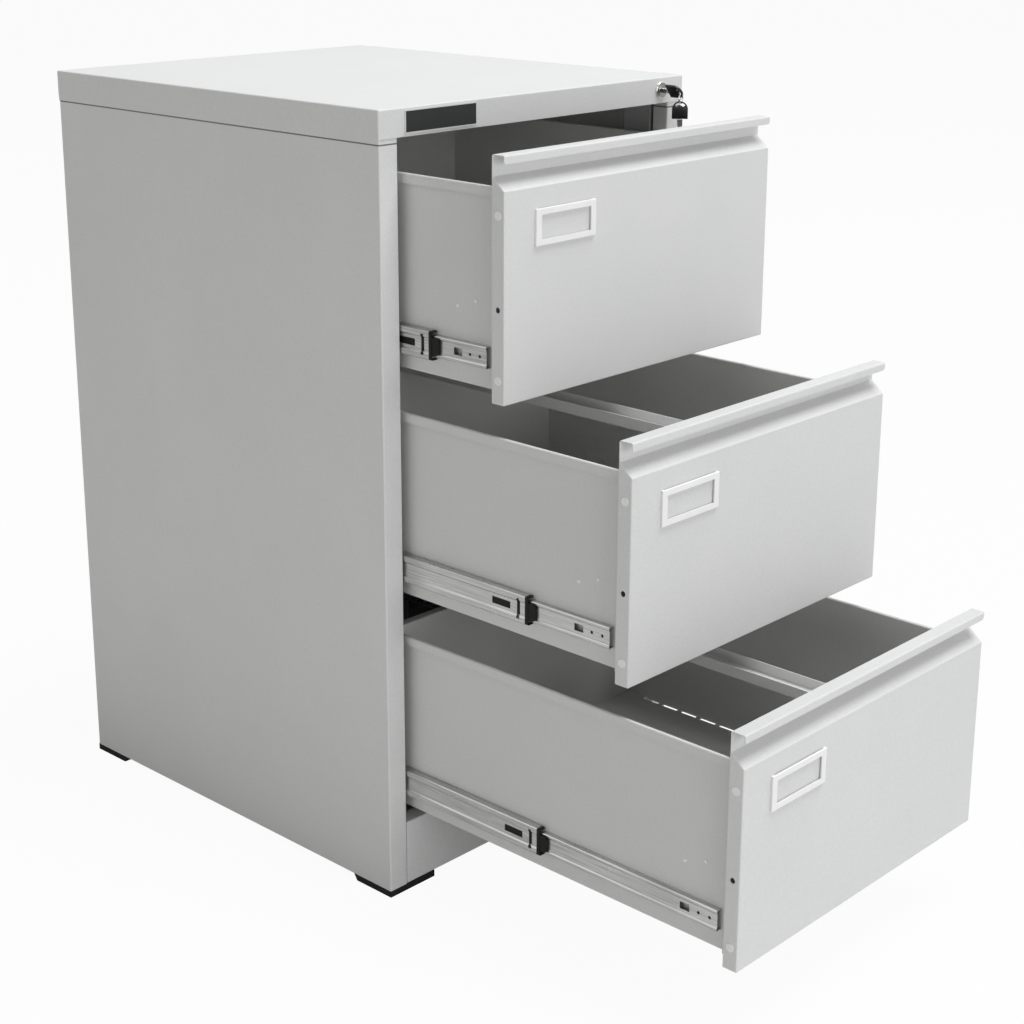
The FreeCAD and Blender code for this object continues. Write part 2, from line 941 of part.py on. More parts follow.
def make_lock_bar():
    """Upright bar behind the right stile, with a slot for the cam pin and a hook for each drawer."""
    left = opening_half + bar_from_stile
    right = left + bar_width
    pin_z = lock_z + pin_rise
    hooks = []
    for name in drawer_names:
        hook_z = drawer_base[name] + lug_up + bar_travel
        hooks.append(
            box(
                tub_half + lug_reach - hook_reach + lug_gap,
                left + bar_gap,
                bar_front,
                bar_back,
                hook_z - hook_height / 2,
                hook_z + hook_height / 2,
            )
        )
    low = drawer_base[drawer_names[-1]] + lug_up + bar_travel - bar_tail
    stem = box(left, right, bar_front, bar_back, low, pin_z + bar_head_half)
    slot_half = cam_pin_r + bar_slot_gap
    slot_left = pin_x - slot_half
    slot_right = lock_x + cam_pin_reach + slot_half
    head = box(
        slot_left - bar_slot_end,
        right,
        bar_front,
        bar_back,
        pin_z - bar_head_half,
        pin_z + bar_head_half,
    )
    slot = box(
        slot_left,
        slot_right,
        bar_front - bar_sheet,
        bar_back + bar_sheet,
        pin_z - slot_half,
        pin_z + slot_half,
    )
    return joined(stem, head, *hooks).cut(slot)


def make_bar_guides():
    """Plastic guides on the right-hand front upright's foot that keep the lock bar straight."""
    left = opening_half + bar_from_stile
    foot_face = side_in - upright_sheet
    guides = []
    for name in drawer_names:
        z = drawer_base[name] + guide_up
        block = box(
            left - guide_gap - sheet,
            foot_face,
            bar_front - guide_gap - guide_wall,
            bar_back + guide_gap + guide_wall / 2,
            z,
            z + guide_height,
        )
        block = block.cut(
            box(
                opening_half - sheet,
                left - guide_gap,
                case_front,
                return_end + guide_gap,
                z - sheet,
                z + guide_height + sheet,
            )
        )
        passage = box(
            left - guide_gap,
            left + bar_width + guide_gap,
            bar_front - guide_gap,
            bar_back + guide_gap,
            z - sheet,
            z + guide_height + sheet,
        )
        guides.append(block.cut(passage))
    return guides


def key_head_plate():
    """Key head lying in the YZ plane, its arc centre at the origin and its round end towards -Y."""
    half = key_head_width / 2
    thick = key_head_sheet / 2
    body = box(-thick, thick, 0, key_head_straight, -half, half)
    head = joined(body, rod("x", (0, 0), half, -thick, thick))
    head = fillet_where(head, key_edge, lambda b: b.XLength < 0.01)
    arc = rod("x", (0, 0), key_slot_out, -key_head_sheet, key_head_sheet)
    arc = arc.cut(rod("x", (0, 0), key_slot_in, -key_head_sheet, key_head_sheet))
    far = 2 * half
    spread = far * math.tan(math.radians(key_slot_half_angle))
    wedge = prism("x", -key_head_sheet, key_head_sheet, [(0, 0), (-far, spread), (-far, -spread)])
    return head.cut(arc.common(wedge))


def make_key_head():
    """Black head of the key that stands in the lock."""
    shoulder = case_front - key_neck
    head = key_head_plate().translated(V(lock_x, shoulder - key_head_straight, lock_z))
    return turned(head, -key_turn)


def make_key_blade():
    """Blade of the key in the lock, from the head's shoulder into the keyway."""
    half = key_blade_sheet / 2
    width = key_blade_width / 2
    shoulder = case_front - key_neck
    tip = case_front + key_blade_in
    blade = box(lock_x - half, lock_x + half, shoulder, tip, lock_z - width, lock_z + width)
    return turned(blade, -key_turn)


def make_case():
    """Pieces that stand still."""
    side = make_side_panel()
    save("right_side_panel", [side])
    save("left_side_panel", [mirrored(side)])
    save("top_cap", [make_top_cap()])
    save("back_panel", [make_back_panel()])
    save("base_tray", [make_base_tray()])
    save("plinth_rail", [make_plinth_rail()])
    save("feet", make_feet())
    save("name_plate", [make_name_plate()])
    save("slide_uprights", make_uprights())
    save("case_rivets", make_case_rivets())
    for name in drawer_names:
        save("outer_slides_" + name, make_outer_slides(name))


def make_lock():
    """Gang lock with its key."""
    save("lock_housing", [make_lock_housing()])
    save("lock_nut", [make_lock_nut()])
    save("lock_plug", [make_lock_plug()])
    save("lock_cam", [make_lock_cam()])
    save("lock_bar", [make_lock_bar()])
    save("lock_bar_guides", make_bar_guides())
    save("key_blade", [make_key_blade()])
    save("key_head", [make_key_head()])


def make_drawer(name):
    """One drawer with its slides, drawn out to where it stands at rest."""
    out = open_by[name]
    mid = mid_out[name]
    save("front_panel_" + name, pulled([make_front_panel(name)], out))
    save("front_backing_" + name, pulled([make_front_backing(name)], out))
    save("tub_" + name, pulled([make_tub(name)], out))
    save("tub_back_" + name, pulled([make_tub_back(name)], out))
    if name in rail_x:
        save("hanging_rail_" + name, pulled([make_hanging_rail(name)], out))
    save("label_holder_" + name, pulled([make_label_holder(name)], out))
    save("fasteners_" + name, pulled(make_drawer_fasteners(name), out))
    save("inner_slides_" + name, pulled(make_inner_slides(name), out))
    save("mid_slides_" + name, pulled(make_mid_slides(name), mid))
    save("slide_stops_" + name, pulled(make_slide_stops(name), mid))
    save("outer_ball_cages_" + name, pulled(make_outer_cages(name), mid / 2))
    save("inner_ball_cages_" + name, pulled(make_inner_cages(name), (mid + out) / 2))


os.makedirs("parts", exist_ok=True)
make_case()
make_lock()
for drawer in drawer_names:
    make_drawer(drawer)
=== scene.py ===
"""Looks of a steel filing cabinet with its drawers pulled out: finishes, spare key, studio and camera."""

import json
import logging
import math
from dataclasses import dataclass, replace
from enum import Enum
from typing import Callable, Dict, List, Optional, Tuple, Union

import bmesh
import bpy
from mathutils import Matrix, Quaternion, Vector


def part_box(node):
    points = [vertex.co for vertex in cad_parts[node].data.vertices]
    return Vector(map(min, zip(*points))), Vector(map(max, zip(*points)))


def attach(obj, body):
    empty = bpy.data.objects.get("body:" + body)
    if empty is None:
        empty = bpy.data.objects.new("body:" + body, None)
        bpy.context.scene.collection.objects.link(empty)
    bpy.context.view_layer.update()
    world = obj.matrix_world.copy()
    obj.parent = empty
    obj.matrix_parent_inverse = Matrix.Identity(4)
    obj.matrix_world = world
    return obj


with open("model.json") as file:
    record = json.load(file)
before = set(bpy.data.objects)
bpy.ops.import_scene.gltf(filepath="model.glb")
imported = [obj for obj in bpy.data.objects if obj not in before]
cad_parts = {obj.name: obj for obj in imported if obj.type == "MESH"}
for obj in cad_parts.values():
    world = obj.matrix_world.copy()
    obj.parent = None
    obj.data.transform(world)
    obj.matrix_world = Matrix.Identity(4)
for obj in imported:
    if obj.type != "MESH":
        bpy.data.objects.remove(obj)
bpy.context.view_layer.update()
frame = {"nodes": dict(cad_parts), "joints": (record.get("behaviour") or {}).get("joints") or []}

MM = 0.001
LOG = logging.getLogger("cabinet")
Socket = bpy.types.NodeSocket
Value = Union[float, Tuple[float, ...], Socket]
WHITE = (1.0, 1.0, 1.0, 1.0)
# Most of a noise's values lie between these
NOISE_SPREAD = (0.3, 0.7)
# Edges sharper than the first are rounded, and faces that meet at less than the second look smooth
HARD_EDGE = math.radians(40)
SMOOTH_BELOW = math.radians(35)


class Drawer(Enum):
    """The three drawers, named as in the frame."""

    TOP = "top"
    MIDDLE = "middle"
    BOTTOM = "bottom"


class Grain(Enum):
    """The way in which a rolled or brushed metal's fine lines run."""

    ALONG_Y = (1.0, 0.02, 1.0)
    ALONG_Z = (1.0, 1.0, 0.02)


def linear(code: str) -> Tuple[float, float, float, float]:
    """Turns an sRGB hex colour into linear light.

    Args:
        code: Six hex digits, such as "d7d8d8".

    Returns:
        Red, green, blue and an alpha of 1.
    """
    shares = [int(code[i : i + 2], 16) / 255 for i in (0, 2, 4)]
    light = [c / 12.92 if c <= 0.04045 else ((c + 0.055) / 1.055) ** 2.4 for c in shares]
    return (light[0], light[1], light[2], 1.0)


def add_node(
    tree: bpy.types.NodeTree,
    kind: str,
    inputs: Optional[Dict[Union[int, str], Value]] = None,
    **settings: object,
) -> bpy.types.Node:
    """Adds one shader node.

    Args:
        tree: The node tree that gets it.
        kind: The node's Blender type.
        inputs: Values and links by input name or number.
        settings: Properties of the node itself.

    Returns:
        The new node.
    """
    made = tree.nodes.new(kind)
    for key, setting in settings.items():
        setattr(made, key, setting)
    for key, value in (inputs or {}).items():
        if isinstance(value, Socket):
            tree.links.new(value, made.inputs[key])
        else:
            made.inputs[key].default_value = value
    return made


def empty_material(name: str) -> Tuple[bpy.types.Material, bpy.types.NodeTree]:
    """Makes a material with no nodes yet.

    Args:
        name: The finish's name.

    Returns:
        The material and its node tree.
    """
    material = bpy.data.materials.new(name)
    material.use_nodes = True
    material.node_tree.nodes.clear()
    return material, material.node_tree


def per_metre(size_mm: float) -> float:
    """Texture scale that gives a feature of this size on Object coordinates in metres."""
    return 1.0 / (size_mm * MM)


def object_place(tree: bpy.types.NodeTree) -> Socket:
    """Object coordinates, which stay with a piece when it moves."""
    return add_node(tree, "ShaderNodeTexCoord").outputs["Object"]


def arithmetic(tree: bpy.types.NodeTree, operation: str, first: Value, second: Value) -> Socket:
    """Adds one step of arithmetic.

    Args:
        tree: The node tree.
        operation: Blender's name for the step.
        first: Its first number.
        second: Its second number.

    Returns:
        The result.
    """
    return add_node(tree, "ShaderNodeMath", {0: first, 1: second}, operation=operation).outputs[0]


def noise(
    tree: bpy.types.NodeTree, place: Socket, size_mm: float, detail: float, roughness: float = 0.5
) -> Socket:
    """Adds a soft random pattern.

    Args:
        tree: The node tree.
        place: The coordinates that it follows.
        size_mm: Size of its patches.
        detail: Number of finer layers.
        roughness: Strength of the finer layers.

    Returns:
        The pattern's value.
    """
    inputs = {"Vector": place, "Scale": per_metre(size_mm), "Detail": detail, "Roughness": roughness}
    return add_node(tree, "ShaderNodeTexNoise", inputs).outputs[0]


def mix_colours(tree: bpy.types.NodeTree, share: Socket, first: Value, second: Value) -> Socket:
    """Mixes two colours.

    Args:
        tree: The node tree.
        share: Share of the second colour.
        first: The first colour.
        second: The second colour.

    Returns:
        The mixed colour.
    """
    return add_node(tree, "ShaderNodeMix", {0: share, 6: first, 7: second}, data_type="RGBA").outputs[2]


def remap(
    tree: bpy.types.NodeTree,
    value: Socket,
    low: float,
    high: float,
    spread: Tuple[float, float] = (0.0, 1.0),
) -> Socket:
    """Stretches a value onto another range.

    Args:
        tree: The node tree.
        value: The value.
        low: What the lower end of its spread becomes.
        high: What the upper end becomes.
        spread: The two ends of the value's own range.

    Returns:
        The stretched value.
    """
    inputs = {"Value": value, "From Min": spread[0], "From Max": spread[1], "To Min": low, "To Max": high}
    return add_node(tree, "ShaderNodeMapRange", inputs).outputs[0]


def bump(tree: bpy.types.NodeTree, height: Socket, strength: float, depth_mm: float) -> Socket:
    """Tilts the surface by a pattern.

    Args:
        tree: The node tree.
        height: The pattern.
        strength: How much of it shows.
        depth_mm: Its depth.

    Returns:
        The tilted normal.
    """
    inputs = {"Height": height, "Strength": strength, "Distance": depth_mm * MM}
    return add_node(tree, "ShaderNodeBump", inputs).outputs[0]


def end_material(tree: bpy.types.NodeTree, inputs: Dict[Union[int, str], Value]) -> None:
    """Ends a material with its shader.

    Args:
        tree: The node tree.
        inputs: The shader's values and links by name.
    """
    shader = add_node(tree, "ShaderNodeBsdfPrincipled", inputs)
    add_node(tree, "ShaderNodeOutputMaterial", {"Surface": shader.outputs[0]})


def within(tree: bpy.types.NodeTree, value: Socket, low: float, high: float) -> Socket:
    """Mask that is 1 where a coordinate lies between two places.

    Args:
        tree: The node tree.
        value: The coordinate.
        low: Lower place, in metres.
        high: Upper place, in metres.

    Returns:
        The mask's socket.
    """
    above = arithmetic(tree, "GREATER_THAN", value, low)
    below = arithmetic(tree, "LESS_THAN", value, high)
    return arithmetic(tree, "MULTIPLY", above, below)


@dataclass(frozen=True)
class Region:
    """A box of space, in metres, where a piece carries its second colour."""

    low: Tuple[float, float, float]
    high: Tuple[float, float, float]

    def mask(self, tree: bpy.types.NodeTree, place: Socket) -> Socket:
        """Builds the mask.

        Args:
            tree: The node tree.
            place: The Object coordinates.

        Returns:
            A socket that is 1 inside the box.
        """
        axes = add_node(tree, "ShaderNodeSeparateXYZ", {0: place}).outputs
        across, along, up = [within(tree, axes[i], self.low[i], self.high[i]) for i in range(3)]
        return arithmetic(tree, "MULTIPLY", arithmetic(tree, "MULTIPLY", across, along), up)


@dataclass(frozen=True)
class PowderCoat:
    """Polyester powder coat baked on sheet steel: a satin skin with a faint orange peel.

    The peel is really about a millimetre across. It is drawn coarser, so that it still shows.
    """

    name: str
    colour: str
    shade: str
    roughness: float = 0.42
    shinier: float = 0.05
    duller: float = 0.07
    ior: float = 1.5
    cloud_mm: float = 170.0
    peel_mm: float = 2.6
    peel_depth_mm: float = 0.05
    peel_strength: float = 0.35
    speckle: float = 0.06
    inside: str = ""
    region: Optional[Region] = None

    def make(self) -> bpy.types.Material:
        """Builds the material, with a second, darker colour inside its region if it has one: on the side
        panels a painted shadow band.
        """
        material, tree = empty_material(self.name)
        place = object_place(tree)
        cloud = noise(tree, place, self.cloud_mm, detail=3.0, roughness=0.6)
        coat = mix_colours(tree, cloud, linear(self.colour), linear(self.shade))
        if self.region is not None:
            coat = mix_colours(tree, self.region.mask(tree, place), coat, linear(self.inside))
        peel = noise(tree, place, self.peel_mm, detail=2.0)
        speckle = remap(tree, peel, 1 - self.speckle, 1.0, NOISE_SPREAD)
        speckled = add_node(tree, "ShaderNodeVectorMath", {0: coat, "Scale": speckle}, operation="SCALE")
        end_material(
            tree,
            {
                "Base Color": speckled.outputs[0],
                "Roughness": remap(tree, peel, self.roughness - self.shinier, self.roughness + self.duller),
                "Normal": bump(tree, peel, self.peel_strength, self.peel_depth_mm),
                "IOR": self.ior,
            },
        )
        return material


@dataclass(frozen=True)
class PlatedMetal:
    """Rolled steel with a thin zinc or nickel plate: fine lines of the rolling under a soft shine."""

    name: str
    bright: str
    dull: str
    roughness: float
    grain: Grain
    uneven: float = 0.06
    line_mm: float = 1.6
    line_depth_mm: float = 0.03
    line_strength: float = 0.12
    spangle_mm: float = 26.0

    def make(self) -> bpy.types.Material:
        """Builds the material: streaks stretched along the grain, and a shine that varies in clouds."""
        material, tree = empty_material(self.name)
        place = object_place(tree)
        stretched = add_node(tree, "ShaderNodeMapping", {"Vector": place, "Scale": self.grain.value})
        lines = noise(tree, stretched.outputs[0], self.line_mm, detail=3.0)
        streaks = remap(tree, lines, 0.0, 1.0, NOISE_SPREAD)
        cloud = noise(tree, place, self.spangle_mm, detail=4.0)
        end_material(
            tree,
            {
                "Base Color": mix_colours(tree, streaks, linear(self.dull), linear(self.bright)),
                "Metallic": 1.0,
                "Roughness": remap(tree, cloud, self.roughness - self.uneven, self.roughness + self.uneven),
                "Normal": bump(tree, lines, self.line_strength, self.line_depth_mm),
            },
        )
        return material


@dataclass(frozen=True)
class MouldedPlastic:
    """Injection-moulded plastic: even colour with the faint spark-eroded grain of its mould."""

    name: str
    colour: str
    shade: str
    roughness: float
    uneven: float = 0.06
    ior: float = 1.49
    specular: float = 0.5
    cloud_mm: float = 18.0
    grain_mm: float = 1.1
    grain_depth_mm: float = 0.04
    grain_strength: float = 0.2
    inside: str = ""
    region: Optional[Region] = None

    def make(self) -> bpy.types.Material:
        """Builds the material, with a second colour inside its region if it has one."""
        material, tree = empty_material(self.name)
        place = object_place(tree)
        cells = {"Vector": place, "Scale": per_metre(self.grain_mm)}
        grain = add_node(tree, "ShaderNodeTexVoronoi", cells).outputs[0]
        cloud = noise(tree, place, self.cloud_mm, detail=3.0)
        colour = mix_colours(tree, cloud, linear(self.colour), linear(self.shade))
        if self.region is not None:
            colour = mix_colours(tree, self.region.mask(tree, place), colour, linear(self.inside))
        end_material(
            tree,
            {
                "Base Color": colour,
                "Roughness": remap(tree, cloud, self.roughness - self.uneven, self.roughness + self.uneven),
                "Normal": bump(tree, grain, self.grain_strength, self.grain_depth_mm),
                "IOR": self.ior,
                "Specular IOR Level": self.specular,
            },
        )
        return material


Finish = Union[PowderCoat, PlatedMetal, MouldedPlastic]

# Outer sheets: pale, even and softly shining
CASE_COAT = PowderCoat("light_grey_powder_coat", "dededd", "d6d7d6")
FRONT_COAT = PowderCoat("light_grey_front_coat", "dcdcdb", "d4d5d4")
# Tubs: the same grey, a little flatter
TUB_COAT = PowderCoat("light_grey_tub_coat", "d8d8d6", "d0d0ce", roughness=0.46)
# Uprights: the case grey darkened as painted shade, for their place in the depth of the case
UPRIGHT_SHADED_COAT = PowderCoat("upright_coat_painted_shade", "a9aaaa", "9fa0a0", roughness=0.5)
# Slides: bright, with long streaks from front to back
SLIDE_ZINC = PlatedMetal("zinc_plated_slide", "d9d9d6", "b3b4b2", 0.29, Grain.ALONG_Y)
# Lock bar and rivets: greyer and duller, with upright streaks
BAR_ZINC = PlatedMetal("zinc_plated_bar", "cfcfca", "8f908d", 0.38, Grain.ALONG_Z)
# Balls and cages: small sharp glints
BALL_STEEL = PlatedMetal("polished_bearing_steel", "e0e0de", "b5b6b5", 0.2, Grain.ALONG_Y)
# Lock and key metal: the brightest piece, nearly a mirror
LOCK_NICKEL = PlatedMetal("bright_nickel_plate", "e6e5e1", "c3c3c0", 0.16, Grain.ALONG_Y, line_mm=0.7)
# Slide stops and feet: deep matt black
BLACK_NYLON = MouldedPlastic("black_moulded_nylon", "161616", "0f0f10", 0.46, specular=0.2)
FOOT_BLACK = MouldedPlastic("black_moulded_foot", "1c1c1c", "141415", 0.6, grain_mm=1.8, specular=0.2)
# Key heads: black with a clear highlight
KEY_BLACK = MouldedPlastic("black_key_moulding", "18181a", "101012", 0.36, grain_mm=0.8)
# Label holders and caps: clean white
LABEL_WHITE = MouldedPlastic("white_moulded_styrene", "f1f1ef", "e9e9e7", 0.34)
# Guides of the lock bar: milky white
GUIDE_NATURAL = MouldedPlastic("natural_moulded_acetal", "d9d8d2", "cfcec8", 0.4)


class FinishBook:
    """Makes each finish once and hands it out."""

    def __init__(self) -> None:
        """Starts with no finish made."""
        self.made: Dict[str, bpy.types.Material] = {}

    def get(self, finish: Finish) -> bpy.types.Material:
        """Gives a finish's material, made on first use.

        Args:
            finish: The finish.

        Returns:
            Its material.
        """
        if finish.name not in self.made:
            self.made[finish.name] = finish.make()
        return self.made[finish.name]


def corners(node: str) -> Tuple[Vector, Vector]:
    """Lowest and highest corner of a CAD node at rest, in metres."""
    low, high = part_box(node)
    return Vector(low), Vector(high)


def dress(piece: bpy.types.Object, material: bpy.types.Material) -> None:
    """Puts one material on every slot of a piece.

    Args:
        piece: A CAD node's object or a new piece.
        material: The finish.
    """
    if not piece.material_slots:
        piece.data.materials.append(material)
    for slot in piece.material_slots:
        slot.material = material
    LOG.info("dressed %s in %s", piece.name, material.name)


def dress_node(name: str, material: bpy.types.Material) -> None:
    """Dresses a CAD node by its name."""
    dress(frame["nodes"][name], material)


def start_piece(name: str) -> bpy.types.Object:
    """Names the primitive that was just added.

    Args:
        name: The piece's name.

    Returns:
        Its object.
    """
    piece = bpy.context.active_object
    piece.name = name
    piece.data.name = name
    return piece


def only(piece: bpy.types.Object) -> None:
    """Selects one piece alone and makes it active."""
    bpy.ops.object.select_all(action="DESELECT")
    piece.select_set(True)
    bpy.context.view_layer.objects.active = piece


def settle(piece: bpy.types.Object) -> None:
    """Moves a piece's place into its mesh, so that its object sits at the origin."""
    only(piece)
    bpy.ops.object.transform_apply(location=True, rotation=True, scale=True)


def begin_edit() -> None:
    """Opens the active piece's mesh with all of it selected."""
    bpy.ops.object.mode_set(mode="EDIT")
    bpy.ops.mesh.select_all(action="SELECT")


def end_edit() -> None:
    """Turns every face of the open mesh outward and closes it."""
    bpy.ops.mesh.select_all(action="SELECT")
    bpy.ops.mesh.normals_make_consistent(inside=False)
    bpy.ops.object.mode_set(mode="OBJECT")


def pick_faces(piece: bpy.types.Object, test: Callable[[Vector, Vector], bool]) -> None:
    """Selects faces in edit mode by their centre and normal.

    Args:
        piece: The mesh being edited.
        test: Says whether a face with this centre and normal is wanted.
    """
    bpy.ops.mesh.select_mode(type="FACE")
    shape = bmesh.from_edit_mesh(piece.data)
    for face in shape.faces:
        face.select_set(test(face.calc_center_median(), face.normal))
    bmesh.update_edit_mesh(piece.data)


def pick_points(piece: bpy.types.Object, test: Callable[[Vector], bool]) -> None:
    """Selects vertices in edit mode by their place.

    Args:
        piece: The mesh being edited.
        test: Says whether a vertex there is wanted.
    """
    bpy.ops.mesh.select_mode(type="VERT")
    bpy.ops.mesh.select_all(action="DESELECT")
    shape = bmesh.from_edit_mesh(piece.data)
    for point in shape.verts:
        point.select_set(test(point.co))
    shape.select_flush_mode()
    bmesh.update_edit_mesh(piece.data)


def apply_modifier(piece: bpy.types.Object, kind: str, **settings: object) -> None:
    """Adds a modifier to a piece and applies it.

    Args:
        piece: The piece.
        kind: The modifier's Blender type.
        settings: Its properties.
    """
    only(piece)
    modifier = piece.modifiers.new(kind.lower(), kind)
    for key, setting in settings.items():
        setattr(modifier, key, setting)
    bpy.ops.object.modifier_apply(modifier=modifier.name)


def soften(piece: bpy.types.Object, width_mm: float) -> None:
    """Rounds a finished piece's hard edges and smooths its curved faces.

    Args:
        piece: The piece.
        width_mm: Width of the rounding.
    """
    apply_modifier(
        piece, "BEVEL", width=width_mm * MM, segments=2, limit_method="ANGLE", angle_limit=HARD_EDGE
    )
    bpy.ops.object.shade_smooth_by_angle(angle=SMOOTH_BELOW)


@dataclass
class CaseLooks:
    """The standing case: folded sheets, plinth, feet, uprights, outer slides and the blank plate.

    Lengths are in millimetres.
    """

    book: FinishBook
    plate_rim: float = 1.4
    plate_skin: float = 0.1
    # Painted shadow: a dark band of this height and colour on the side panels, just under the top cap's
    # skirt
    shadow_band_height: float = 1.8
    shadow_band_colour: str = "6d6e6e"

    def plate_finish(self) -> MouldedPlastic:
        """Dark field with a pale rim, bounded by the plate's own edges."""
        low, high = corners("name_plate")
        rim = self.plate_rim * MM
        field = Region(
            (low.x + rim, low.y + self.plate_skin * MM, low.z + rim),
            (high.x - rim, high.y, high.z - rim),
        )
        return MouldedPlastic(
            "enamelled_blank_plate", "d6d6d4", "cfcfcd", 0.3, inside="2c2e2e", region=field
        )

    def side_finish(self) -> PowderCoat:
        """Coat of the side panels, with a painted shadow: a dark band where they go up under the top cap's
        skirt.
        """
        low, high = corners("top_cap")
        # The band just under the skirt's lower edge takes the painted shadow colour
        shadow_band = Region((low.x, low.y, low.z - self.shadow_band_height * MM), (high.x, high.y, low.z))
        return replace(CASE_COAT, name="side_coat_painted_shadow", inside=self.shadow_band_colour, region=shadow_band)

    def dress(self) -> None:
        """Gives every piece of the case its finish."""
        for node in ("back_panel", "top_cap", "base_tray", "plinth_rail"):
            dress_node(node, self.book.get(CASE_COAT))
        for node in ("left_side_panel", "right_side_panel"):
            dress_node(node, self.book.get(self.side_finish()))
        # The uprights get the darkened coat, a painted shade
        dress_node("slide_uprights", self.book.get(UPRIGHT_SHADED_COAT))
        dress_node("feet", self.book.get(FOOT_BLACK))
        dress_node("name_plate", self.book.get(self.plate_finish()))
        dress_node("case_rivets", self.book.get(BAR_ZINC))
        for drawer in Drawer:
            dress_node("outer_slides_" + drawer.value, self.book.get(SLIDE_ZINC))


@dataclass
class DrawerLooks:
    """One drawer: pressed front, folded tub, slides and fittings."""

    book: FinishBook
    drawer: Drawer

    def node(self, stem: str) -> str:
        """Name of this drawer's node."""
        return stem + "_" + self.drawer.value

    def dress(self) -> None:
        """Gives every piece of the drawer and its slides its finish."""
        finishes = {
            "front_panel": FRONT_COAT,
            "front_backing": TUB_COAT,
            "tub": TUB_COAT,
            "tub_back": TUB_COAT,
            "hanging_rail": CASE_COAT,
            "label_holder": LABEL_WHITE,
            "fasteners": LABEL_WHITE,
            "inner_slides": SLIDE_ZINC,
            "mid_slides": SLIDE_ZINC,
            "slide_stops": BLACK_NYLON,
            "outer_ball_cages": BALL_STEEL,
            "inner_ball_cages": BALL_STEEL,
        }
        for stem, finish in finishes.items():
            if self.node(stem) in frame["nodes"]:
                dress_node(self.node(stem), self.book.get(finish))


